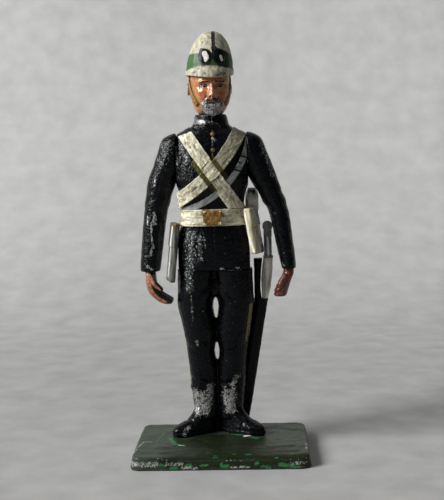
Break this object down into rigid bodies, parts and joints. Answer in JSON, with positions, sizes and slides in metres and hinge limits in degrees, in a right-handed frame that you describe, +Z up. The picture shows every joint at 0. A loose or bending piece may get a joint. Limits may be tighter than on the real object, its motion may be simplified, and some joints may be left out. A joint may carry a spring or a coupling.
{
  "type": "toy soldier figure",
  "caption": "Painted white metal toy soldier at attention on a flat base, with swinging arms on shoulder pegs and a head that turns on a neck peg.",
  "frame": {"origin": "centre of the underside of the base plate", "axes": "+Z up, the figure faces -Y, the figure's left side is at +X"},
  "size_m": [0.025, 0.017, 0.0604],
  "materials": {
    "cloth_enamel": "glossy near-black enamel on white metal, chipped",
    "white_enamel": "cream-white enamel on white metal, brush marked",
    "flesh_enamel": "tan flesh enamel on white metal",
    "brass_paint": "gilt paint, worn",
    "grey_enamel": "grey paint worn to bare white metal",
    "base_enamel": "dark green enamel on white metal, worn at the edges"
  },
  "bodies": {
    "figure": {"base_plate": "base_enamel", "legs": "cloth_enamel", "tunic": "cloth_enamel", "waist_belt": "white_enamel", "belt_plate": "brass_paint", "right_shoulder_belt": "white_enamel", "left_shoulder_belt": "white_enamel", "bottle_strap": "grey_enamel", "strap_buckle": "grey_enamel", "tunic_buttons": "brass_paint", "haversack": "white_enamel", "water_bottle": "grey_enamel", "side_pouch": "white_enamel", "sword_hilt": "grey_enamel", "bayonet_frog": "white_enamel", "scabbard": "cloth_enamel"},
    "head": {"head": "flesh_enamel", "helmet": "white_enamel", "goggles": "cloth_enamel", "chin_strap": "brass_paint"},
    "right_arm": {"right_arm": "cloth_enamel", "right_hand": "flesh_enamel"},
    "left_arm": {"left_arm": "cloth_enamel", "left_hand": "flesh_enamel"}
  },
  "joints": [
    {"name": "head_turn", "type": "hinge", "parent": "figure", "child": "head", "pos_m": [-0.0006, 0.004, 0.0486], "axis": [0, 0, 1], "continuous": true},
    {"name": "right_arm_swing", "type": "hinge", "parent": "figure", "child": "right_arm", "pos_m": [-0.0058, 0.004, 0.0432], "axis": [-1, 0, 0], "continuous": true},
    {"name": "left_arm_swing", "type": "hinge", "parent": "figure", "child": "left_arm", "pos_m": [0.0046, 0.004, 0.0432], "axis": [-1, 0, 0], "continuous": true}
  ]
}
